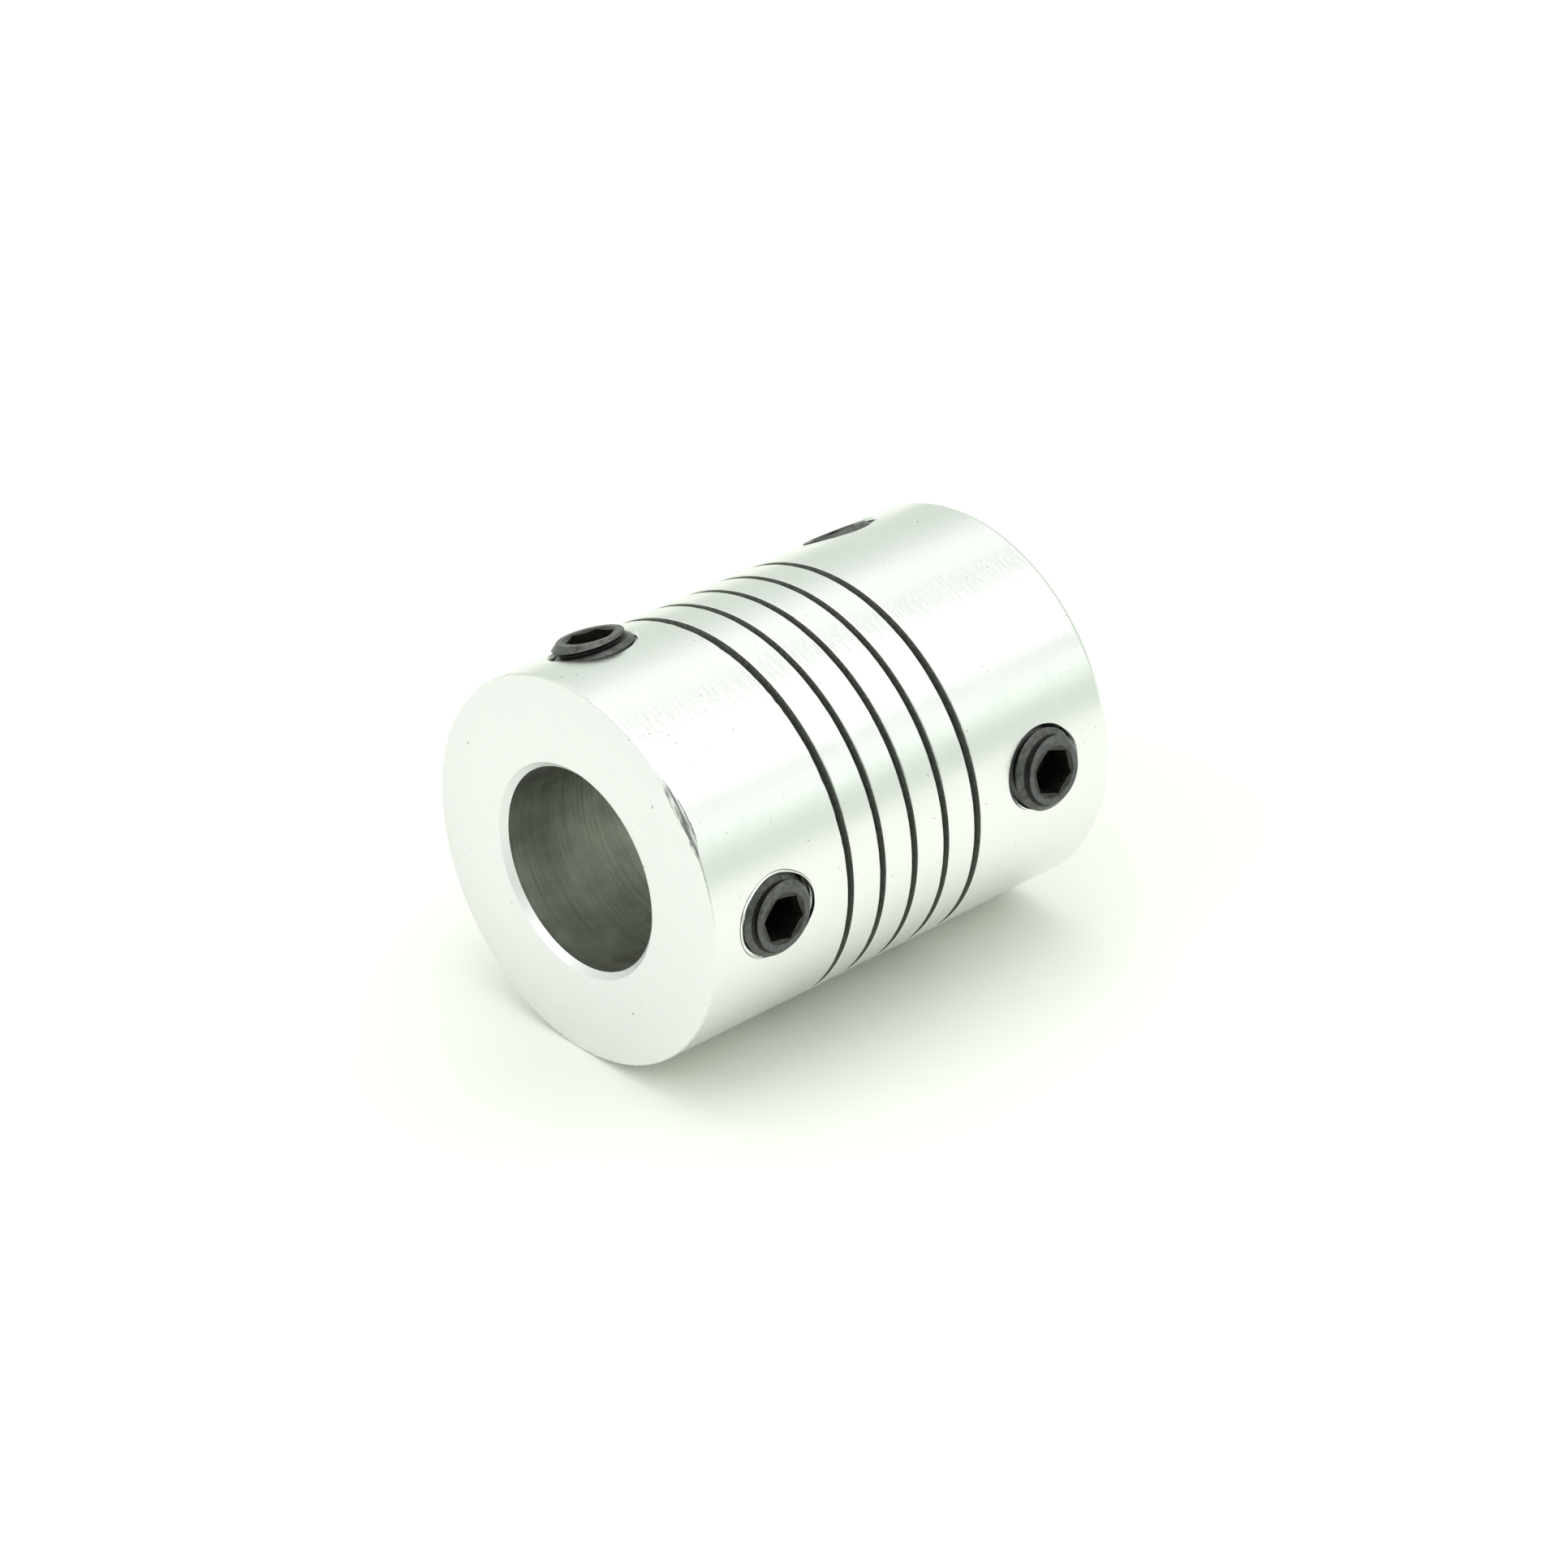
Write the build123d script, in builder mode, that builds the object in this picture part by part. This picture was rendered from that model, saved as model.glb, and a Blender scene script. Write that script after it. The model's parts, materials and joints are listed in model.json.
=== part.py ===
"""Beam coupling: an aluminium bar with one helical slot, and four socket set screws.

Frame: the shaft axis is +X from the front hub to the rear hub, the origin is on the axis
at mid-length, and +Z is up as the coupling lies on its round side. Angles about the shaft
start at +Z and turn towards -Y, the right-handed way about +X.

The real body is one piece, and it moves by bending. Here it is two rigid hubs and five
rigid stretches of its coil, parted by thin gaps where the joints between them act.
"""

from build123d import *
import os
from math import atan2, cos, degrees, radians, sin, tan

# Coupling body, in mm
OUTER_DIAMETER = 19.0
BODY_LENGTH = 25.0
BORE_DIAMETER = 10.0
EDGE_CHAMFER = 0.12
BORE_CHAMFER = 0.3

# Relief that keeps the coil clear of the ends of the two shafts
RELIEF_DIAMETER = 10.4
RELIEF_PAST_SLOT = 0.3

# Helical slot, right through the wall, centred along the body
SLOT_PITCH = 2.0
SLOT_TURNS = 5
SLOT_WIDTH = 0.4
SLOT_START_ANGLE = -57.0

# Gaps that part the coil into rigid stretches, one for each way that the coil gives. The
# wide one is where the coil winds up, which brings its two faces together
JOINT_GAPS = {
    "pitch_front": 0.2,
    "yaw_front": 0.2,
    "stretch": 0.2,
    "wind_up": 0.45,
    "yaw_rear": 0.2,
    "pitch_rear": 0.2,
}

# M4 socket set screws with a cup point
SCREW_LENGTH = 4.0
SCREW_DIAMETER = 3.94
SCREW_HOLE_DIAMETER = 4.1
COUNTERSINK_DEPTH = 0.17
THREAD_PITCH = 0.7
THREAD_DEPTH = 0.4
THREAD_ROOT_FLAT = 0.06
THREAD_FLANK_ANGLE = 30.0
SCREW_END_CHAMFER = 0.35
SOCKET_ACROSS_FLATS = 2.0
SOCKET_DEPTH = 1.8
SOCKET_LEAD_IN = 0.2
CUP_DIAMETER = 2.0
CUP_DEPTH = 0.5

# Each set screw: place of its axis along the shaft, angle about the shaft, and height of
# its socket end above the body's surface
SET_SCREWS = {
    "front_side_set_screw": (-8.72, 87.7, 0.45),
    "front_top_set_screw": (-8.50, -19.5, 0.47),
    "rear_side_set_screw": (8.12, 82.0, 0.70),
    "rear_top_set_screw": (8.30, -32.0, 0.0),
}

# Worked out from the sizes above
outer_radius = OUTER_DIAMETER / 2
bore_radius = BORE_DIAMETER / 2
wall = outer_radius - bore_radius
mid_wall_radius = (outer_radius + bore_radius) / 2
slot_length = SLOT_PITCH * SLOT_TURNS
slot_start = -slot_length / 2
relief_length = slot_length + 2 * RELIEF_PAST_SLOT
# The coil is one turn shorter than the slot, because the slot lies on both sides of it
coil_turns = SLOT_TURNS - 1
coil_stretches = len(JOINT_GAPS) - 1
# How far a cut runs past the surface that it opens through
CUT_PAST = 0.6


def around_shaft(angle):
    """Direction that points away from the shaft axis at an angle about it."""
    return Vector(0, -sin(radians(angle)), cos(radians(angle)))


def slot_path():
    """Helix along the middle of the wall that the slot follows."""
    with BuildLine() as helix:
        Helix(
            SLOT_PITCH,
            slot_length,
            mid_wall_radius,
            center=(slot_start, 0, 0),
            direction=(1, 0, 0),
        )
    first_point = helix.line @ 0
    first_angle = degrees(atan2(-first_point.Y, first_point.Z))
    return helix.line.rotate(Axis.X, SLOT_START_ANGLE - first_angle)


def screw_plane(along, angle, height):
    """Plane at a screw's socket end, whose normal points out of the hub."""
    away = around_shaft(angle)
    return Plane(
        origin=Vector(along, 0, 0) + away * (outer_radius + height),
        x_dir=(1, 0, 0),
        z_dir=away,
    )


def machined_body():
    """The bored bar with its screw holes and its slot, parted into rigid stretches."""
    with BuildPart() as body:
        with BuildSketch(Plane.YZ.offset(-BODY_LENGTH / 2)):
            Circle(outer_radius)
            Circle(bore_radius, mode=Mode.SUBTRACT)
        extrude(amount=BODY_LENGTH)
        end_edges = body.edges().filter_by(GeomType.CIRCLE).group_by(SortBy.RADIUS)
        chamfer(end_edges[-1], length=EDGE_CHAMFER)
        chamfer(end_edges[0], length=BORE_CHAMFER)
        with BuildSketch(Plane.YZ.offset(-relief_length / 2)):
            Circle(RELIEF_DIAMETER / 2)
        extrude(amount=relief_length, mode=Mode.SUBTRACT)

        for along, angle, _ in SET_SCREWS.values():
            with BuildSketch(screw_plane(along, angle, CUT_PAST)):
                Circle(SCREW_HOLE_DIAMETER / 2)
            extrude(amount=-(wall + 2 * CUT_PAST), mode=Mode.SUBTRACT)
            with Locations(screw_plane(along, angle, (CUT_PAST - COUNTERSINK_DEPTH) / 2)):
                Cone(
                    SCREW_HOLE_DIAMETER / 2,
                    SCREW_HOLE_DIAMETER / 2 + CUT_PAST + COUNTERSINK_DEPTH,
                    CUT_PAST + COUNTERSINK_DEPTH,
                    mode=Mode.SUBTRACT,
                )

        path = slot_path()
        slot_plane = Plane(
            origin=path @ 0,
            x_dir=around_shaft(SLOT_START_ANGLE),
            z_dir=path % 0,
        )
        with BuildSketch(slot_plane):
            Rectangle(wall + 2 * CUT_PAST, SLOT_WIDTH)
        sweep(path=path, is_frenet=True, mode=Mode.SUBTRACT)

        for joint, gap in enumerate(JOINT_GAPS.values()):
            turn = coil_turns * joint / coil_stretches
            gap_plane = Plane(
                origin=(slot_start + SLOT_PITCH * turn, 0, 0),
                x_dir=around_shaft(SLOT_START_ANGLE + 360 * turn),
                z_dir=(1, 0, 0),
            )
            with BuildSketch(gap_plane):
                with Locations((mid_wall_radius, 0)):
                    Rectangle(wall + 2 * CUT_PAST, gap)
            extrude(amount=SLOT_PITCH, mode=Mode.SUBTRACT)
    return body.part


def set_screw():
    """Set screw that stands on its cup point at the origin, with its socket end up."""
    screw_radius = SCREW_DIAMETER / 2
    with BuildPart() as screw:
        with BuildSketch():
            Circle(screw_radius)
        extrude(amount=SCREW_LENGTH)
        chamfer(screw.edges().filter_by(GeomType.CIRCLE), length=SCREW_END_CHAMFER)

        with BuildLine() as thread:
            Helix(
                THREAD_PITCH,
                SCREW_LENGTH + 2 * THREAD_PITCH,
                screw_radius,
                center=(0, 0, -THREAD_PITCH),
            )
        groove_plane = Plane(
            origin=thread.line @ 0, x_dir=(1, 0, 0), z_dir=thread.line % 0
        )
        root = THREAD_ROOT_FLAT / 2
        mouth = root + 2 * THREAD_DEPTH * tan(radians(THREAD_FLANK_ANGLE))
        with BuildSketch(groove_plane):
            Polygon(
                (-THREAD_DEPTH, -root),
                (THREAD_DEPTH, -mouth),
                (THREAD_DEPTH, mouth),
                (-THREAD_DEPTH, root),
                align=None,
            )
        sweep(path=thread.line, is_frenet=True, mode=Mode.SUBTRACT)

        with BuildSketch(Plane.XY.offset(SCREW_LENGTH)):
            RegularPolygon(SOCKET_ACROSS_FLATS / 2, 6, major_radius=False)
        extrude(amount=-SOCKET_DEPTH, mode=Mode.SUBTRACT)
        with Locations((0, 0, SCREW_LENGTH - SOCKET_LEAD_IN / 2)):
            Cone(
                SOCKET_ACROSS_FLATS / 2,
                SOCKET_ACROSS_FLATS / 2 + SOCKET_LEAD_IN,
                SOCKET_LEAD_IN,
                mode=Mode.SUBTRACT,
            )
        with Locations((0, 0, CUP_DEPTH / 2)):
            Cone(CUP_DIAMETER / 2, 0, CUP_DEPTH, mode=Mode.SUBTRACT)
    return screw.part


os.makedirs("parts", exist_ok=True)

stretch_names = (
    ["front_hub"] + [f"coil_{i + 1}" for i in range(coil_stretches)] + ["rear_hub"]
)
stretches = machined_body().solids().sort_by(Axis.X)
for name, stretch in zip(stretch_names, stretches, strict=True):
    with BuildPart() as section:
        add(stretch)
    section.part.label = name
    export_step(section.part, f"parts/{name}.step")

one_screw = set_screw()
for name, (along, angle, height) in SET_SCREWS.items():
    tip_plane = screw_plane(along, angle, height - SCREW_LENGTH)
    with BuildPart() as screw_in_place:
        add(tip_plane.location * one_screw)
    screw_in_place.part.label = name
    export_step(screw_in_place.part, f"parts/{name}.step")
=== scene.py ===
"""Looks of the beam coupling: its meshes, its materials, a pale floor and soft studio light.

Shapes are worked out in millimetres in the CAD's frame: the shaft axis is +X, and angles
about it are in degrees from +Z towards -Y. They become metres when a mesh is made.
"""

import json

import bmesh
import bpy
import numpy as np
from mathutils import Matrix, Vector

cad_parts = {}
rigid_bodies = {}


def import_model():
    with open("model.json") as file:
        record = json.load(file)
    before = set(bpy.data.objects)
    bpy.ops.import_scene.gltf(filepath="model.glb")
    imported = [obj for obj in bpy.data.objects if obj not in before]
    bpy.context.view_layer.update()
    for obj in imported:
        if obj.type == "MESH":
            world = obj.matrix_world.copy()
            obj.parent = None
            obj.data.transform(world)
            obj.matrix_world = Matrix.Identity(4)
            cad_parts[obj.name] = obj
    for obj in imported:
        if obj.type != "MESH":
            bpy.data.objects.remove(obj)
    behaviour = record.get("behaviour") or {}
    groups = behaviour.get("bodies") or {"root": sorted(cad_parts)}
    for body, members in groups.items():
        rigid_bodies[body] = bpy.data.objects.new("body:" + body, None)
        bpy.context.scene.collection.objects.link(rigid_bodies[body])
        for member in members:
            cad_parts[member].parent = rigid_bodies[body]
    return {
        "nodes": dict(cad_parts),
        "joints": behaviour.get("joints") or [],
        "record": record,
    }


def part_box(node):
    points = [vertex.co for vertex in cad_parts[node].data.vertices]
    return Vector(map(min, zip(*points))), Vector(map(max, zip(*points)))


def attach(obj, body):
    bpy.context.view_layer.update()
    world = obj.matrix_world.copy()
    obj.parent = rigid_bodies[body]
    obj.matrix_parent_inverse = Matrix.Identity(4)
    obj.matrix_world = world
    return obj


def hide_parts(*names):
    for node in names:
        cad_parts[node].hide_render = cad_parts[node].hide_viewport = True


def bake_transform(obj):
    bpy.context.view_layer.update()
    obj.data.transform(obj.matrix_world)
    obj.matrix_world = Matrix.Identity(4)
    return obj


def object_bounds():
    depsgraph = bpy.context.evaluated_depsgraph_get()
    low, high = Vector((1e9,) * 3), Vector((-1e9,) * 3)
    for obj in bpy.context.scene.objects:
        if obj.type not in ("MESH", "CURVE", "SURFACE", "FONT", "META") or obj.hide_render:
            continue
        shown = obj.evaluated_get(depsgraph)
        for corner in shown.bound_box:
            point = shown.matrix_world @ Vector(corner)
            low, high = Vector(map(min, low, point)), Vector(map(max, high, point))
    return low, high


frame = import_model()
cad_low, cad_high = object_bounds()

MM = 0.001

# Coupling body, in mm
OUTER_RADIUS = round(-cad_low.z / MM, 3)
HALF_LENGTH = round(cad_high.x / MM, 3)
BORE_RADIUS = frame["record"]["mounts"][0]["dims"]["r_mm"]
RELIEF_RADIUS = BORE_RADIUS + 0.2
RELIEF_HALF_LENGTH = 5.3
FRONT_EDGE = 0.12
REAR_EDGE = 0.28
BORE_CHAMFER = 0.3

# Helical slot on the CAD's path. The saw's cut is measured along the shaft
SLOT_PITCH = 2.0
SLOT_TURNS = 5
SLOT_START = -SLOT_PITCH * SLOT_TURNS / 2
SLOT_START_ANGLE = -57.0
COIL_TURNS = SLOT_TURNS - 1
KERF = 0.37
SLOT_EDGE_BREAK = 0.035
COIL_EDGE_WEAR = 0.02

# Set screws (M4) and their tapped holes
SCREW_LENGTH = 4.0
SCREW_RADIUS = 1.97
THREAD_PITCH = 0.7
THREAD_DEPTH = 0.38
TAPPED_RADIUS = 2.14
TAPPED_DEPTH = 0.13
COUNTERSINK_DEPTH = 0.17
COUNTERSINK_RADIUS = 2.08
CUT_PAST_BORE = 1.0
CUT_PAST_SKIN = 0.6
BURR_WIDTH = 0.07

# Points that are closer than this are one point, in a lofted mesh and in a cut one
LOFT_WELD = 0.0001
CUT_WELD = 0.002

# Degrees between the rows of a lofted mesh, and the rows round a screw's axis
COIL_STEP = 1.0
HUB_STEP = 0.5
HOLE_ROWS = 97
SCREW_ROWS = 121
BURR_ROWS = 241

# A corner is on a round face if it is this near the radius and faces this nearly along it
ON_RADIUS = 0.002
ALONG_RADIUS = 0.99


# ---------------------------------------------------------------- meshes


def around_shaft(angle, radius, along):
    """Points at angles about the shaft, radii from its axis and places along it."""
    turned = np.radians(angle)
    return np.stack(
        np.broadcast_arrays(along, -radius * np.sin(turned), radius * np.cos(turned)),
        axis=-1,
    )


def lofted(rows, section_finishes, closed=True):
    """Vertices, faces and finishes of the quads between rows of points.

    rows is (row, column, xyz). Column j's faces run to the next column, and back to the
    first one if the section is closed.
    """
    row_count, columns = rows.shape[:2]
    faces, finishes = [], []
    for i in range(row_count - 1):
        for j in range(columns if closed else columns - 1):
            k = (j + 1) % columns
            faces.append(
                (i * columns + j, (i + 1) * columns + j, (i + 1) * columns + k, i * columns + k)
            )
            finishes.append(section_finishes[j])
    return rows.reshape(-1, 3), faces, finishes


def mesh_object(name, points, faces, finishes, materials):
    """A mesh in metres from points in mm, welded, with its faces pointing outwards."""
    mesh = bpy.data.meshes.new(name)
    mesh.from_pydata((points * MM).tolist(), [], faces)
    for material in materials.values():
        mesh.materials.append(material)
    slots = list(materials)
    mesh.polygons.foreach_set("material_index", [slots.index(f) for f in finishes])
    shape = bmesh.new()
    shape.from_mesh(mesh)
    bmesh.ops.remove_doubles(shape, verts=shape.verts, dist=LOFT_WELD * MM)
    bmesh.ops.recalc_face_normals(shape, faces=shape.faces)
    shape.to_mesh(mesh)
    shape.free()
    piece = bpy.data.objects.new(name, mesh)
    bpy.context.scene.collection.objects.link(piece)
    return piece


def cleaned(mesh):
    """Rid a cut mesh of the slivers, doubled faces and loose parts that cutting leaves."""
    shape = bmesh.new()
    shape.from_mesh(mesh)
    bmesh.ops.triangulate(shape, faces=shape.faces)
    bmesh.ops.remove_doubles(shape, verts=shape.verts, dist=CUT_WELD * MM)
    bmesh.ops.dissolve_degenerate(shape, edges=shape.edges, dist=CUT_WELD * MM)
    bmesh.ops.triangulate(shape, faces=shape.faces)
    doubled, seen = [], set()
    for face in shape.faces:
        corners = frozenset(face.verts)
        if corners in seen:
            doubled.append(face)
        seen.add(corners)
    bmesh.ops.delete(shape, geom=doubled, context="FACES")
    gaps = [edge for edge in shape.edges if edge.is_boundary]
    bmesh.ops.holes_fill(shape, edges=gaps, sides=4)
    loose = [vert for vert in shape.verts if not vert.link_faces]
    bmesh.ops.delete(shape, geom=loose, context="VERTS")
    bmesh.ops.recalc_face_normals(shape, faces=shape.faces)
    shape.to_mesh(mesh)
    shape.free()


def with_holes(piece, cutters):
    """The piece with the cutters taken out of it. The cutters are used up."""
    for cutter in cutters:
        cut = piece.modifiers.new(cutter.name, "BOOLEAN")
        cut.operation = "DIFFERENCE"
        cut.solver = "EXACT"
        cut.object = cutter
    evaluated = piece.evaluated_get(bpy.context.evaluated_depsgraph_get())
    mesh = bpy.data.meshes.new_from_object(evaluated)
    piece.modifiers.clear()
    cleaned(mesh)
    piece.data = mesh
    for cutter in cutters:
        bpy.data.objects.remove(cutter)


def shade(piece, sharp_angle=35.0, round_body=True):
    """Smooth shading with sharp edges, and exact normals on the body's round faces."""
    mesh = piece.data
    mesh.shade_smooth()
    mesh.set_sharp_from_angle(angle=np.radians(sharp_angle))
    if not round_body:
        return
    place = np.empty(len(mesh.vertices) * 3)
    mesh.vertices.foreach_get("co", place)
    place = place.reshape(-1, 3) / MM
    corner_vertex = np.empty(len(mesh.loops), int)
    mesh.loops.foreach_get("vertex_index", corner_vertex)
    corner_count = np.empty(len(mesh.polygons), int)
    mesh.polygons.foreach_get("loop_total", corner_count)
    facing = np.empty(len(mesh.polygons) * 3)
    mesh.polygons.foreach_get("normal", facing)
    facing = np.repeat(facing.reshape(-1, 3), corner_count, axis=0)
    corner = place[corner_vertex]
    radius = np.hypot(corner[:, 1], corner[:, 2])
    away = corner * (0, 1, 1) / radius[:, None]
    outwards = (facing * away).sum(1)
    exact = np.zeros_like(corner)
    outside = (abs(radius - OUTER_RADIUS) < ON_RADIUS) & (outwards > ALONG_RADIUS)
    exact[outside] = away[outside]
    for inner_radius in (BORE_RADIUS, RELIEF_RADIUS):
        inside = (abs(radius - inner_radius) < ON_RADIUS) & (outwards < -ALONG_RADIUS)
        exact[inside] = -away[inside]
    mesh.normals_split_custom_set(exact.tolist())


# ---------------------------------------------------------------- coupling body


def slot_centre(turn):
    """Place along the shaft of the slot's middle, by turns from its start."""
    return SLOT_START + SLOT_PITCH * turn


def smooth_step(value, low, high):
    """0 below low, 1 above high, and smooth between them."""
    share = np.clip((value - low) / (high - low), 0, 1)
    return share * share * (3 - 2 * share)


def slot_half_width(turn):
    """Half the saw's cut, which is a little wider in the last turn."""
    return KERF / 2 + 0.02 * smooth_step(turn, 4.0, 4.3)


def slot_first_wall(turn):
    """Place along the shaft of the slot's front wall, where the saw first went in too wide."""
    run_in = 0.06 * (1 - smooth_step(turn, 0.15, 0.5))
    return slot_centre(turn) - slot_half_width(turn) - run_in


def slot_last_wall(turn):
    """The same for the slot's rear wall, with the coupling turned end for end."""
    return -slot_centre(SLOT_TURNS - turn) - slot_half_width(SLOT_TURNS - turn)


def wandering(angle, step, seed, count=2048):
    """Values from 0 to 1 along an angle, with a new random one every step degrees."""
    values = np.random.RandomState(seed).rand(count)
    return np.interp((np.asarray(angle) / step) % (count - 1), np.arange(count), values)


def chipped_edge(turn):
    """How far the front wall's outer edge is chipped back, in mm."""
    rough = smooth_step(turn, 0.08, 0.16) * (1 - smooth_step(turn, 0.34, 0.5))
    return 0.008 + (0.015 + 0.075 * rough) * wandering(360 * turn, 1.9, 7) ** 2


def front_rim(angle):
    """Width of the front end's outer edge, in mm, with one scuffed stretch and some nicks."""
    angle = np.asarray(angle) % 360
    scuffed = smooth_step(angle, 36, 52) * (1 - smooth_step(angle, 54, 64))
    wear = FRONT_EDGE + 0.01 * wandering(angle, 1.3, 3) + 0.22 * scuffed
    nicks = np.random.RandomState(29).rand(16, 3)
    for centre, depth, width in nicks:
        offset = (angle - 360 * centre) / (0.4 + 0.4 * width)
        wear = wear + (0.01 + 0.04 * depth) * np.exp(-offset * offset)
    return wear


def hub_section(turn, wall_along, wall_along_at_start, chipping, rounding):
    """Radii and places along the shaft of the front hub's section, at turns of the slot."""
    start = -HALF_LENGTH
    edge = SLOT_EDGE_BREAK
    steady = np.ones_like(turn)
    return [
        (OUTER_RADIUS - rounding, start * steady),
        (OUTER_RADIUS - 0.3 * rounding, start + 0.3 * rounding),
        (OUTER_RADIUS, start + rounding),
        (OUTER_RADIUS, (wall_along_at_start - edge - chipping.max()) * steady),
        (OUTER_RADIUS, wall_along - edge - chipping),
        (OUTER_RADIUS - edge, wall_along - chipping * 0.5),
        (RELIEF_RADIUS, wall_along),
        (RELIEF_RADIUS, wall_along_at_start * steady),
        (RELIEF_RADIUS, -RELIEF_HALF_LENGTH * steady),
        (BORE_RADIUS, -RELIEF_HALF_LENGTH * steady),
        (BORE_RADIUS, (start + BORE_CHAMFER) * steady),
        (BORE_RADIUS + BORE_CHAMFER, start * steady),
    ]


# Finishes of a hub's section after the two faces of its outer rim
HUB_FINISHES = ["turned"] * 2 + ["edge", "sawn"] + ["bored"] * 4 + ["faced"] * 2


def hub(name, wall, chipping, rim, end_for_end, screws, materials):
    """A hub with its slot wall and its tapped holes, riding on its body.

    The rear hub is made like the front one and then turned end for end, about the radius at
    the slot's start angle.
    """
    turns = np.arange(0, 360 + HUB_STEP, HUB_STEP) / 360
    sign = -1 if end_for_end else 1
    angle = SLOT_START_ANGLE + sign * 360 * turns
    outline = hub_section(turns, wall(turns), wall(0.0), chipping(turns), rim(angle))
    rows = np.stack(
        [around_shaft(angle, radius, sign * along) for radius, along in outline], axis=1
    )
    rim_finish = "turned" if end_for_end else "rim"
    points, faces, finishes = lofted(rows, [rim_finish] * 2 + HUB_FINISHES)
    last = (len(turns) - 1) * len(outline)
    before_wall, outer_edge, wall_edge, wall_foot = 3, 4, 5, 6
    slot_end = [last + outer_edge, last + wall_edge, last + wall_foot]
    slot_end += [wall_foot, wall_edge, outer_edge, before_wall]
    faces.append(tuple(slot_end))
    finishes.append("sawn")
    piece = mesh_object(f"{name}_body", points, faces, finishes, materials)
    with_holes(piece, [cutter for screw in screws for cutter in hole_cutters(screw, materials)])
    shade(piece)
    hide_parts(name)
    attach(piece, name)


COIL_FINISHES = ["edge", "turned", "edge", "sawn", "bored", "sawn"]


def coil_ribbon(name, from_turn, to_turn, materials):
    """The coil between two places along it, in turns from the front hub, with its ends closed."""
    count = int(round((to_turn - from_turn) * 360 / COIL_STEP)) + 1
    turns = np.linspace(from_turn, to_turn, count)
    front = slot_centre(turns) + slot_half_width(turns)
    rear = slot_centre(turns + 1) - slot_half_width(turns + 1)
    edge = SLOT_EDGE_BREAK
    front_edge = edge + COIL_EDGE_WEAR * wandering(360 * turns, 2.3, 11)
    rear_edge = edge + COIL_EDGE_WEAR * wandering(360 * turns, 1.9, 13)
    outline = [
        (OUTER_RADIUS - edge, front),
        (OUTER_RADIUS, front + front_edge),
        (OUTER_RADIUS, rear - rear_edge),
        (OUTER_RADIUS - edge, rear),
        (RELIEF_RADIUS, rear),
        (RELIEF_RADIUS, front),
    ]
    angle = SLOT_START_ANGLE + 360 * turns
    rows = np.stack([around_shaft(angle, radius, along) for radius, along in outline], axis=1)
    points, faces, finishes = lofted(rows, COIL_FINISHES)
    columns, last = len(outline), (count - 1) * len(outline)
    faces += [tuple(range(columns)), tuple(range(last, last + columns))]
    finishes += ["sawn", "sawn"]
    piece = mesh_object(name, points, faces, finishes, materials)
    shade(piece)
    return piece


def coil(materials):
    """The whole coil: a stretch that rides on each coil body, and a bend across each joint.

    A bend reaches as far round as a straight blend can follow the coil at its inner radius.
    """
    chain = ["front_hub", "coil_1", "coil_2", "coil_3", "coil_4", "coil_5", "rear_hub"]
    stretches = len(chain) - 2
    reach = 75.0
    joint_turns = [COIL_TURNS * i / stretches for i in range(stretches + 1)]
    for i, turn in enumerate(joint_turns):
        before = 0 if i == 0 else reach / 360
        after = 0 if i == stretches else reach / 360
        bend = coil_ribbon(f"coil_bend_{i + 1}", turn - before, turn + after, materials)
        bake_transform(bend)
    for i in range(stretches):
        stretch = coil_ribbon(
            f"coil_stretch_{i + 1}",
            joint_turns[i] + reach / 360,
            joint_turns[i + 1] - reach / 360,
            materials,
        )
        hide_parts(chain[i + 1])
        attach(stretch, chain[i + 1])


# ---------------------------------------------------------------- set screws


class ScrewPlace:
    """Where a set screw is: its hub, axis, place along the shaft and socket end's height."""

    def __init__(self, node):
        joint = next(j for j in frame["joints"] if j["child"] == node)
        low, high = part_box(node)
        corners = [v.co for v in frame["nodes"][node].data.vertices]
        self.node = node
        self.hub = joint["parent"]
        self.axis = Vector(joint["axis"]).normalized()
        self.top = max(co.dot(self.axis) for co in corners) / MM
        self.along = (low.x + high.x) / 2 / MM

    def points(self, angle, radius, height):
        """Points about the screw's axis, at heights from the shaft's axis."""
        turned = np.radians(angle)
        across = np.array(self.axis.cross(Vector((1, 0, 0))))
        x = radius * np.cos(turned)
        y = radius * np.sin(turned)
        height, x, y = np.broadcast_arrays(height, x, y)
        out = np.array(self.axis)
        shape = height[..., None] * out + y[..., None] * across
        shape[..., 0] += self.along + x
        return shape

    def rows(self, angles, outline):
        """Rows of a lofted mesh about the screw's axis, from (radius, height) places."""
        return np.stack([self.points(angles, *place) for place in outline], axis=1)


# One pitch of a thread: place along it and depth, as shares of the pitch and full depth,
# and whether the surface from there to the next place is down in the groove and painted dark as
# shade
THREAD_PROFILE = [
    (-0.06, 1.0, True),
    (0.06, 1.0, True),
    (0.25, 0.45, False),
    (0.37, 0.1, False),
    (0.43, 0.0, False),
    (0.57, 0.0, False),
    (0.63, 0.1, False),
    (0.84, 0.7, True),
]


def thread_rows(angles, low, high, radius, depth, starts_at=0.0):
    """Heights, radii and groove marks of a right-hand thread's rows between two heights."""
    heights, radii, grooved = [], [], []
    for turn in range(-2, int((high - low) / THREAD_PITCH) + 2):
        for share, sunk, in_groove in THREAD_PROFILE:
            rise = low + THREAD_PITCH * (turn + share + (angles + starts_at) / 360)
            heights.append(np.clip(rise, low, high))
            radii.append(np.full_like(angles, radius - depth * sunk))
            grooved.append(in_groove)
    return heights, radii, grooved


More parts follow.
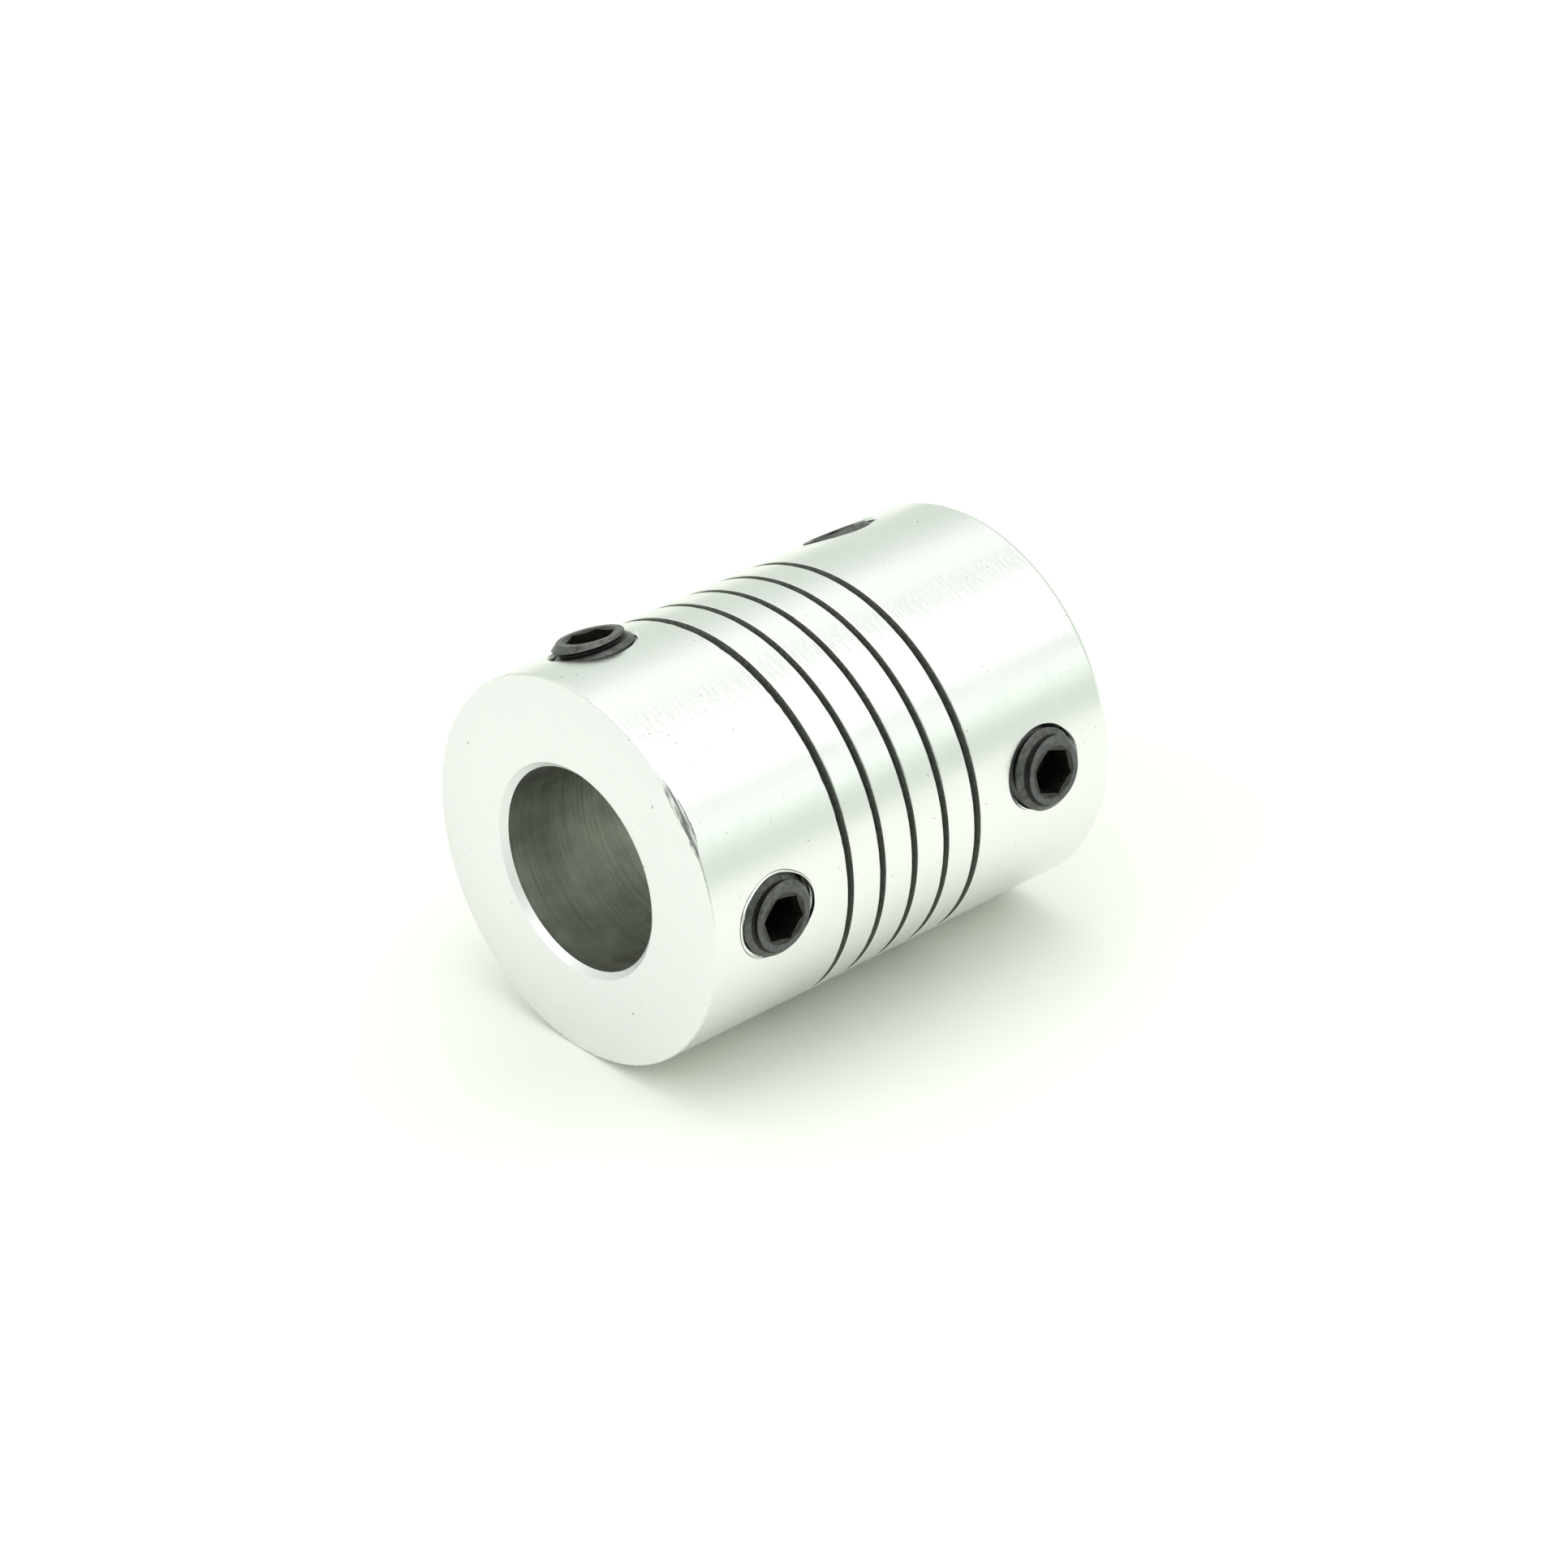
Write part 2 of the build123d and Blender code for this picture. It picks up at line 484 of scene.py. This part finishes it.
def turned_cutter(name, screw, outline, finish, materials):
    """Cutter about a screw's axis from (radius, height) places, closed at its two ends."""
    angles = np.linspace(0, 360, HOLE_ROWS)
    low, high = outline[0][1].mean(), outline[-1][1].mean()
    rows = screw.rows(angles, [(0.0, low)] + outline + [(0.0, high)])
    shape = lofted(rows, [finish] * rows.shape[1], closed=False)
    return mesh_object(name, *shape, materials)


def hole_cutters(screw, materials):
    """Cutters for the threaded hole that a set screw stands in, and for its countersink."""
    angles = np.linspace(0, 360, HOLE_ROWS)
    steady = np.ones_like(angles)
    low, high = BORE_RADIUS - CUT_PAST_BORE, OUTER_RADIUS + CUT_PAST_SKIN
    heights, radii, _ = thread_rows(angles, low, high, TAPPED_RADIUS, TAPPED_DEPTH)
    thread = list(zip(radii, heights))
    sunk = OUTER_RADIUS - COUNTERSINK_DEPTH
    cone = [
        (COUNTERSINK_RADIUS * steady, sunk * steady),
        ((COUNTERSINK_RADIUS + high - sunk) * steady, high * steady),
    ]
    return [
        turned_cutter(f"{screw.node}_thread", screw, thread, "tapped", materials),
        turned_cutter(f"{screw.node}_countersink", screw, cone, "edge", materials),
    ]


def surface_height(angle, radius):
    """Height of the body's skin above the shaft's axis, at a place about a screw's axis."""
    aside = radius * np.sin(np.radians(angle))
    return np.sqrt(OUTER_RADIUS**2 - aside**2)


def burr(screw, crown, materials):
    """Ragged lip of metal that tapping pushed up round the mouth of a screw's hole."""
    angles = np.linspace(0, 360, BURR_ROWS)
    seed = int(abs(screw.along * 10))
    ragged = wandering(angles, 9.0, seed) * np.sin(np.radians(angles / 2)) ** 0.2
    rim = COUNTERSINK_RADIUS
    for _ in range(8):
        sunk = surface_height(angles, rim) - (OUTER_RADIUS - COUNTERSINK_DEPTH)
        rim = COUNTERSINK_RADIUS + np.maximum(sunk, 0) * 0.8
    foot, lip, mouth = rim + BURR_WIDTH, rim - 0.01, rim - 0.06
    rise = crown * (0.45 + 0.55 * ragged)
    outline = [
        (foot, surface_height(angles, foot) - 0.05),
        (foot - 0.005, surface_height(angles, foot) + 0.004),
        (foot - 0.035, surface_height(angles, foot) + 0.015),
        (lip + 0.02, surface_height(angles, lip) + rise),
        (lip - 0.02, surface_height(angles, lip) + rise * 0.95),
        (mouth, surface_height(angles, mouth) - 0.08),
    ]
    # The foot's two faces take the dark slot-wall finish: a painted shadow line round the foot of
    # the lip.
    finishes = ["sawn", "sawn", "edge", "edge", "tapped", "tapped"]
    shape = lofted(screw.rows(angles, outline), finishes)
    piece = mesh_object(f"{screw.node}_burr", *shape, materials)
    shade(piece, round_body=False)
    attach(piece, screw.hub)


def hexagon_radius(angle, across_flats):
    """Distance from a hexagon's middle to its side, at an angle from one of its corners."""
    from_flat = (np.asarray(angle) % 60) - 30
    return across_flats / 2 / np.cos(np.radians(from_flat))


SOCKET_ACROSS_FLATS = 2.06
SOCKET_MOUTH_RADIUS = 1.27
SOCKET_LEAD_IN = 0.35
SOCKET_DEPTH = 1.8
TOP_RING_RADIUS = 1.56
CUP_RADIUS = 1.05
CUP_DEPTH = 0.45


def set_screw(screw, socket_turn, thread_start, materials):
    """A socket set screw with a rolled thread, a chamfered socket and a cup point."""
    angles = np.linspace(0, 360, SCREW_ROWS)
    flat = np.zeros_like(angles)
    top = screw.top
    tip = top - SCREW_LENGTH
    heights, radii, grooved = thread_rows(
        angles, tip, top, SCREW_RADIUS, THREAD_DEPTH, thread_start
    )
    radii = [
        np.minimum(
            radius,
            np.minimum(CUP_RADIUS + 0.12 + (height - tip), TOP_RING_RADIUS + (top - height)),
        )
        for height, radius in zip(heights, radii)
    ]
    hexagon = hexagon_radius(angles + socket_turn, SOCKET_ACROSS_FLATS)
    lead_in = (SOCKET_MOUTH_RADIUS - hexagon) * SOCKET_LEAD_IN
    cup = [(flat, flat + tip + CUP_DEPTH), (flat + CUP_RADIUS, flat + tip)]
    socket = [
        (flat + SOCKET_MOUTH_RADIUS + 0.03, flat + top),
        (flat + SOCKET_MOUTH_RADIUS, flat + top - 0.02),
        (hexagon, top - lead_in),
        (hexagon, flat + top - SOCKET_DEPTH),
        (flat, flat + top - SOCKET_DEPTH - 0.35),
    ]
    outline = cup + list(zip(radii, heights)) + socket
    section_finishes = ["black"] * len(cup)
    # Faces down in the thread's groove get a near-black finish: painted shade.
    section_finishes += ["groove" if deep else "black" for deep in grooved]
    section_finishes[-1] = "worn"
    # The socket's mouth and the socket itself take darker finishes: painted shade in the socket.
    section_finishes += ["worn", "mouth", "socket", "socket", "socket"]
    shape = lofted(screw.rows(angles, outline), section_finishes, closed=False)
    piece = mesh_object(f"{screw.node}_body", *shape, materials)
    shade(piece, sharp_angle=32.0, round_body=False)
    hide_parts(screw.node)
    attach(piece, screw.node)


# ---------------------------------------------------------------- materials


class Shader:
    """A Principled material under construction, with short calls for the nodes it uses."""

    def __init__(self, name):
        self.material = bpy.data.materials.new(name)
        self.material.use_nodes = True
        self.tree = self.material.node_tree
        self.surface = self.tree.nodes["Principled BSDF"]
        self.place = self.node("ShaderNodeTexCoord").outputs["Object"]

    def node(self, kind, **settings):
        made = self.tree.nodes.new(kind)
        for key, value in settings.items():
            setattr(made, key, value)
        return made

    def link(self, source, target):
        self.tree.links.new(source, target)

    def feed(self, socket, source):
        """Link a value to one of the shader's own sockets."""
        self.link(source, self.surface.inputs[socket])

    def set(self, **values):
        """Constants on the shader's own sockets, by socket name with _ for a space."""
        for key, value in values.items():
            self.surface.inputs[key.replace("_", " ")].default_value = value

    def noise(self, scale, detail=3.0, roughness=0.5, distortion=0.0):
        """Noise whose features are 1/scale long along X, Y and Z, with scale per mm."""
        mapping = self.node("ShaderNodeMapping")
        mapping.inputs["Scale"].default_value = Vector(scale) / MM
        self.link(self.place, mapping.inputs["Vector"])
        noise = self.node("ShaderNodeTexNoise")
        noise.inputs["Scale"].default_value = 1.0
        noise.inputs["Detail"].default_value = detail
        noise.inputs["Roughness"].default_value = roughness
        noise.inputs["Distortion"].default_value = distortion
        self.link(mapping.outputs["Vector"], noise.inputs["Vector"])
        return noise.outputs["Fac"]

    def ramp(self, value, *stops):
        """Value through a ramp of (place, grey or colour) stops."""
        ramp = self.node("ShaderNodeValToRGB")
        while len(ramp.color_ramp.elements) < len(stops):
            ramp.color_ramp.elements.new(1.0)
        for element, (place, colour) in zip(ramp.color_ramp.elements, stops):
            element.position = place
            element.color = (*colour, 1) if isinstance(colour, tuple) else (colour,) * 3 + (1,)
        self.link(value, ramp.inputs["Fac"])
        return ramp.outputs["Color"]

    def combine(self, operation, first, second):
        """Math on two values, either of which may be a number."""
        maths = self.node("ShaderNodeMath", operation=operation)
        for source, socket in ((first, maths.inputs[0]), (second, maths.inputs[1])):
            if isinstance(source, (int, float)):
                socket.default_value = source
            else:
                self.link(source, socket)
        return maths.outputs["Value"]

    def scaled(self, value, factor, offset):
        """A value times a factor, plus an offset."""
        return self.combine("ADD", self.combine("MULTIPLY", value, factor), offset)

    def bump(self, height, depth, under=None):
        """Bump of a height field that is depth mm deep, over the bump before it."""
        bump = self.node("ShaderNodeBump")
        bump.inputs["Strength"].default_value = 1.0
        bump.inputs["Distance"].default_value = depth * MM
        self.link(height, bump.inputs["Height"])
        if under is not None:
            self.link(under, bump.inputs["Normal"])
        return bump.outputs["Normal"]

    def band_along_shaft(self, angle, half_width, fade):
        """1 within half_width degrees of an angle about the shaft, fading to 0 outside it."""
        turned = np.radians(angle)
        across = self.node("ShaderNodeVectorMath", operation="MULTIPLY")
        across.inputs[1].default_value = (0, 1, 1)
        self.link(self.place, across.inputs[0])
        outwards = self.node("ShaderNodeVectorMath", operation="NORMALIZE")
        self.link(across.outputs["Vector"], outwards.inputs[0])
        facing = self.node("ShaderNodeVectorMath", operation="DOT_PRODUCT")
        facing.inputs[1].default_value = (0, -np.sin(turned), np.cos(turned))
        self.link(outwards.outputs["Vector"], facing.inputs[0])
        band = self.node("ShaderNodeMapRange", interpolation_type="SMOOTHSTEP")
        band.inputs["From Min"].default_value = np.cos(np.radians(half_width + fade))
        band.inputs["From Max"].default_value = np.cos(np.radians(half_width))
        self.link(facing.outputs["Value"], band.inputs["Value"])
        return band.outputs["Result"]

    def grain_round_shaft(self):
        """Anisotropic grain that runs round the shaft."""
        tangent = self.node("ShaderNodeTangent", direction_type="RADIAL", axis="X")
        self.feed("Tangent", tangent.outputs["Tangent"])


ALUMINIUM = (0.87, 0.885, 0.865)
FACED = (0.86, 0.865, 0.865)


def turned_aluminium():
    """Fine-turned skin: grooves round the shaft, tool marks mostly in one band, a few specks."""
    shader = Shader("turned_aluminium")
    shader.set(Metallic=1.0, Anisotropic=0.55)
    shader.grain_round_shaft()
    grooves = shader.noise((9.0, 0.05, 0.05), detail=5.0, roughness=0.65)
    streaks = shader.noise((4.5, 1.4, 1.4), detail=4.0, roughness=0.6)
    cloud = shader.noise((0.5, 0.35, 0.35), detail=3.0)
    chatter = shader.combine("ADD", shader.band_along_shaft(24.0, 4.0, 5.0), 0.08)
    normal = shader.bump(grooves, 0.0011)
    normal = shader.bump(shader.combine("MULTIPLY", streaks, chatter), 0.036, normal)
    shader.feed("Normal", normal)
    shader.feed("Roughness", shader.scaled(shader.combine("ADD", cloud, grooves), 0.13, 0.09))
    specks = shader.noise((4.5, 4.5, 4.5), detail=1.0)
    dark = tuple(0.45 * c for c in ALUMINIUM)
    colour = shader.ramp(specks, (0.0, ALUMINIUM), (0.775, ALUMINIUM), (0.80, dark))
    shader.feed("Base Color", colour)
    return shader.material


def faced_aluminium():
    """End faces: a fine matt face with fine grain, mottled roughness and tiny pits."""
    shader = Shader("faced_aluminium")
    shader.set(Metallic=1.0)
    grain = shader.noise((14.0, 14.0, 14.0), detail=3.0)
    mottle = shader.noise((0.9, 0.9, 0.9), detail=4.0)
    pits = shader.noise((3.2, 3.2, 3.2), detail=1.5)
    pit_depth = shader.ramp(pits, (0.0, 1.0), (0.745, 1.0), (0.80, 0.0))
    normal = shader.bump(grain, 0.006)
    normal = shader.bump(pit_depth, 0.02, normal)
    shader.feed("Normal", normal)
    shader.feed("Roughness", shader.scaled(mottle, 0.16, 0.4))
    dark = tuple(0.5 * c for c in ALUMINIUM)
    colour = shader.ramp(pits, (0.0, FACED), (0.76, FACED), (0.80, dark))
    shader.feed("Base Color", colour)
    return shader.material


def rim_aluminium():
    """Broken outer edge of the front end: a few nicks, and scratches along one stretch."""
    shader = Shader("rim_aluminium")
    shader.set(Metallic=1.0)
    scratches = shader.noise((9.0, 0.35, 0.35), detail=4.0, roughness=0.7)
    nicks = shader.noise((3.5, 3.5, 3.5), detail=3.0, roughness=0.6)
    shader.feed("Normal", shader.bump(scratches, 0.003))
    shader.feed("Roughness", shader.combine("ADD", nicks, -0.2))
    scuffed = shader.band_along_shaft(52.0, 6.0, 9.0)
    scored = shader.combine("MULTIPLY", scuffed, shader.ramp(scratches, (0.40, 1.0), (0.52, 0.0)))
    nicked = shader.ramp(nicks, (0.68, 0.0), (0.74, 0.8))
    bright = tuple(0.96 * c for c in ALUMINIUM)
    dark = tuple(0.22 * c for c in ALUMINIUM)
    colour = shader.ramp(shader.combine("MAXIMUM", scored, nicked), (0.15, bright), (0.8, dark))
    shader.feed("Base Color", colour)
    return shader.material


def edge_aluminium():
    """Chamfers and broken edges: bright, with nicks and scuffs."""
    shader = Shader("edge_aluminium")
    shader.set(Metallic=1.0, Roughness=0.26)
    nicks = shader.noise((2.4, 2.4, 2.4), detail=5.0, roughness=0.7)
    shader.feed("Normal", shader.bump(nicks, 0.02))
    scuff = tuple(0.4 * c for c in ALUMINIUM)
    colour = shader.ramp(nicks, (0.0, ALUMINIUM), (0.64, ALUMINIUM), (0.74, scuff))
    shader.feed("Base Color", colour)
    return shader.material


def bored_aluminium():
    """Reamed bore: duller than the skin, with scratches round it and a film of oil."""
    shader = Shader("bored_aluminium")
    shader.set(Metallic=1.0, Anisotropic=0.4)
    shader.grain_round_shaft()
    scratches = shader.noise((7.0, 0.12, 0.12), detail=5.0, roughness=0.7)
    film = shader.noise((0.35, 0.5, 0.5), detail=3.0)
    shader.feed("Normal", shader.bump(scratches, 0.009))
    shader.feed("Roughness", shader.scaled(shader.combine("ADD", film, scratches), 0.2, 0.14))
    mixed = shader.combine("ADD", shader.combine("MULTIPLY", scratches, 0.6), film)
    colour = shader.ramp(mixed, (0.6, (0.54, 0.55, 0.52)), (0.95, (0.86, 0.88, 0.82)))
    shader.feed("Base Color", colour)
    return shader.material


def painted_shade_sawn_aluminium():
    """Slot walls: rough from the saw, and painted dark as shade where the narrow slot lies in
    shadow.
    """
    shader = Shader("painted_shade_sawn_aluminium")
    shader.set(Metallic=0.4)
    marks = shader.noise((1.2, 5.0, 5.0), detail=4.0, roughness=0.7)
    shader.feed("Normal", shader.bump(marks, 0.03))
    shader.feed("Roughness", shader.combine("ADD", marks, 0.25))
    # Dark greys: painted shade on the slot walls, and the painted shadow line at a burr's foot.
    colour = shader.ramp(marks, (0.3, (0.12, 0.13, 0.11)), (0.75, (0.30, 0.31, 0.28)))
    shader.feed("Base Color", colour)
    return shader.material


def tapped_aluminium():
    """Threads in the hubs: bright cut metal with some dirt in the grooves."""
    shader = Shader("tapped_aluminium")
    shader.set(Metallic=1.0)
    dirt = shader.noise((1.8, 1.8, 1.8), detail=4.0)
    shader.feed("Normal", shader.bump(dirt, 0.01))
    shader.feed("Roughness", shader.combine("MULTIPLY", dirt, 0.5))
    colour = shader.ramp(dirt, (0.35, (0.35, 0.36, 0.34)), (0.6, (0.8, 0.82, 0.8)))
    shader.feed("Base Color", colour)
    return shader.material


def black_oxide(name, light, dark, brown):
    """Black oxide on steel: satin, worn paler on high spots, with brown oil in places."""
    shader = Shader(name)
    shader.set(Metallic=0.7)
    wear = shader.noise((3.0, 3.0, 3.0), detail=5.0, roughness=0.65)
    grain = shader.noise((16.0, 16.0, 16.0), detail=2.0)
    shader.feed("Normal", shader.bump(grain, 0.006))
    shader.feed("Roughness", shader.scaled(wear, 0.35, 0.22))
    colour = shader.ramp(wear, (0.28, brown), (0.42, dark), (0.72, light))
    shader.feed("Base Color", colour)
    return shader.material


def white_floor():
    """Plain pale floor with the faintest unevenness."""
    shader = Shader("white_floor")
    shader.set(Metallic=0.0, Roughness=0.6, Specular_IOR_Level=0.2)
    cloud = shader.noise((0.03, 0.03, 0.03), detail=3.0)
    colour = shader.ramp(cloud, (0.3, (0.935, 0.95, 0.90)), (0.7, (0.95, 0.965, 0.915)))
    shader.feed("Base Color", colour)
    return shader.material


# ---------------------------------------------------------------- studio


def direction(azimuth, elevation):
    """Unit vector towards an azimuth, 0 at -Y and 90 at +X, and an elevation."""
    flat = np.cos(np.radians(elevation))
    return Vector(
        (
            flat * np.sin(np.radians(azimuth)),
            -flat * np.cos(np.radians(azimuth)),
            np.sin(np.radians(elevation)),
        )
    )


def soft_light(name, azimuth, elevation, width, height, radiance, distance=0.6):
    """Oval light that faces the object from far enough to look the same all over it."""
    data = bpy.data.lights.new(name, "AREA")
    data.shape = "ELLIPSE"
    data.size = width
    data.size_y = height
    data.energy = radiance * np.pi * np.pi / 4 * width * height
    light = bpy.data.objects.new(name, data)
    bpy.context.scene.collection.objects.link(light)
    towards = direction(azimuth, elevation)
    light.location = towards * distance
    light.rotation_euler = towards.to_track_quat("Z", "Y").to_euler()


# Smooth patches on the sky: azimuth, elevation, reach in degrees, and change of radiance
SKY_PATCHES = [(124.5, 45, 15, 0.2), (39, 21.6, 11, 0.43), (-25, 6, 44, -0.38)]


def sky():
    """White room, duller and greener towards its horizon, with paler and dimmer patches."""
    world = bpy.data.worlds.new("room")
    bpy.context.scene.world = world
    world.use_nodes = True
    nodes, links = world.node_tree.nodes, world.node_tree.links
    place = nodes.new("ShaderNodeTexCoord")
    parts = nodes.new("ShaderNodeSeparateXYZ")
    ramp = nodes.new("ShaderNodeValToRGB")
    zenith = 1.25
    stops = [
        (0.0, (0.75, 0.82, 0.74)),
        (0.28, (0.745, 0.815, 0.735)),
        (0.42, (0.79, 0.86, 0.785)),
        (0.60, (0.94, 0.98, 0.93)),
        (0.84, (0.98, 1.0, 0.97)),
        (1.0, (zenith, zenith, zenith)),
    ]
    while len(ramp.color_ramp.elements) < len(stops):
        ramp.color_ramp.elements.new(1.0)
    for element, (height, colour) in zip(ramp.color_ramp.elements, stops):
        element.position = height
        element.color = (*(part / zenith for part in colour), 1)
    links.new(place.outputs["Generated"], parts.inputs["Vector"])
    links.new(parts.outputs["Z"], ramp.inputs["Fac"])
    colour = ramp.outputs["Color"]
    for azimuth, elevation, reach, change in SKY_PATCHES:
        facing = nodes.new("ShaderNodeVectorMath")
        facing.operation = "DOT_PRODUCT"
        facing.inputs[1].default_value = direction(azimuth, elevation)
        links.new(place.outputs["Generated"], facing.inputs[0])
        patch = nodes.new("ShaderNodeMapRange")
        patch.interpolation_type = "SMOOTHSTEP"
        patch.inputs["From Min"].default_value = np.cos(np.radians(reach))
        patch.inputs["To Max"].default_value = change / zenith
        links.new(facing.outputs["Value"], patch.inputs["Value"])
        total = nodes.new("ShaderNodeVectorMath")
        links.new(colour, total.inputs[0])
        links.new(patch.outputs["Result"], total.inputs[1])
        colour = total.outputs["Vector"]
    links.new(colour, nodes["Background"].inputs["Color"])
    nodes["Background"].inputs["Strength"].default_value = zenith


def floor(material):
    """Round pale floor that the coupling lies on."""
    shape = bmesh.new()
    bmesh.ops.create_circle(shape, cap_ends=True, segments=96, radius=0.9)
    mesh = bpy.data.meshes.new("floor")
    shape.to_mesh(mesh)
    shape.free()
    mesh.materials.append(material)
    ground = bpy.data.objects.new("floor", mesh)
    ground.location.z = cad_low.z
    bpy.context.scene.collection.objects.link(ground)


def camera():
    """Camera off the front hub's side, looking 30 degrees down on the coupling."""
    azimuth, elevation, distance, lens = -42.74, 30.22, 0.25486, 125.26
    aim = Vector((0.00014, -0.00032, -0.00025))
    data = bpy.data.cameras.new("camera")
    data.lens = lens
    data.sensor_width = 36.0
    data.clip_start = 0.01
    data.clip_end = 10.0
    eye = bpy.data.objects.new("camera", data)
    bpy.context.scene.collection.objects.link(eye)
    back = direction(azimuth, elevation)
    eye.location = aim + back * distance
    eye.rotation_euler = back.to_track_quat("Z", "Y").to_euler()
    bpy.context.scene.camera = eye


# ---------------------------------------------------------------- scene

aluminium = {
    "turned": turned_aluminium(),
    "faced": faced_aluminium(),
    "rim": rim_aluminium(),
    "edge": edge_aluminium(),
    "bored": bored_aluminium(),
    "sawn": painted_shade_sawn_aluminium(),
    "tapped": tapped_aluminium(),
}
black_steel = {
    "black": black_oxide(
        "black_oxide", (0.155, 0.158, 0.152), (0.085, 0.087, 0.082), (0.05, 0.045, 0.035)
    ),
    "worn": black_oxide(
        "black_oxide_worn", (0.15, 0.155, 0.158), (0.09, 0.094, 0.097), (0.06, 0.052, 0.04)
    ),
    # Darker brown: painted shade at the socket's mouth, with brown oil in places.
    "mouth": black_oxide(
        "black_oxide_mouth_painted_shade", (0.075, 0.07, 0.06), (0.035, 0.032, 0.026), (0.06, 0.042, 0.02)
    ),
    # Near black: painted shade down in the thread's grooves.
    "groove": black_oxide(
        "black_oxide_painted_groove_shade", (0.03, 0.03, 0.028), (0.014, 0.014, 0.013), (0.012, 0.010, 0.008)
    ),
    # Near black: painted shade inside the socket, with brown oil in places.
    "socket": black_oxide(
        "black_oxide_socket_painted_shade", (0.05, 0.046, 0.04), (0.02, 0.018, 0.015), (0.05, 0.035, 0.015)
    ),
}

front_screws = [ScrewPlace("front_side_set_screw"), ScrewPlace("front_top_set_screw")]
rear_screws = [ScrewPlace("rear_side_set_screw"), ScrewPlace("rear_top_set_screw")]
# Degrees that each screw's socket and thread are turned by
screw_turns = [(12.0, -30.0), (25.0, 180.0), (20.0, 0.0), (5.0, 90.0)]

hub("front_hub", slot_first_wall, chipped_edge, front_rim, False, front_screws, aluminium)
hub(
    "rear_hub",
    slot_last_wall,
    lambda turn: 0.01 * np.ones_like(turn),
    lambda angle: REAR_EDGE * np.ones_like(angle),
    True,
    rear_screws,
    aluminium,
)
coil(aluminium)
burr(front_screws[0], 0.13, aluminium)
for screw, (socket_turn, thread_start) in zip(front_screws + rear_screws, screw_turns):
    set_screw(screw, socket_turn, thread_start, black_steel)

floor(white_floor())
sky()
soft_light("main_softbox", 61, 47, 0.33, 0.33, 0.6)
soft_light("overhead", 0, 90, 0.48, 0.48, 1.05)
soft_light("left_softbox", -100, 38, 0.40, 0.36, 1.1)
camera()
bpy.context.scene.view_settings.view_transform = "Standard"
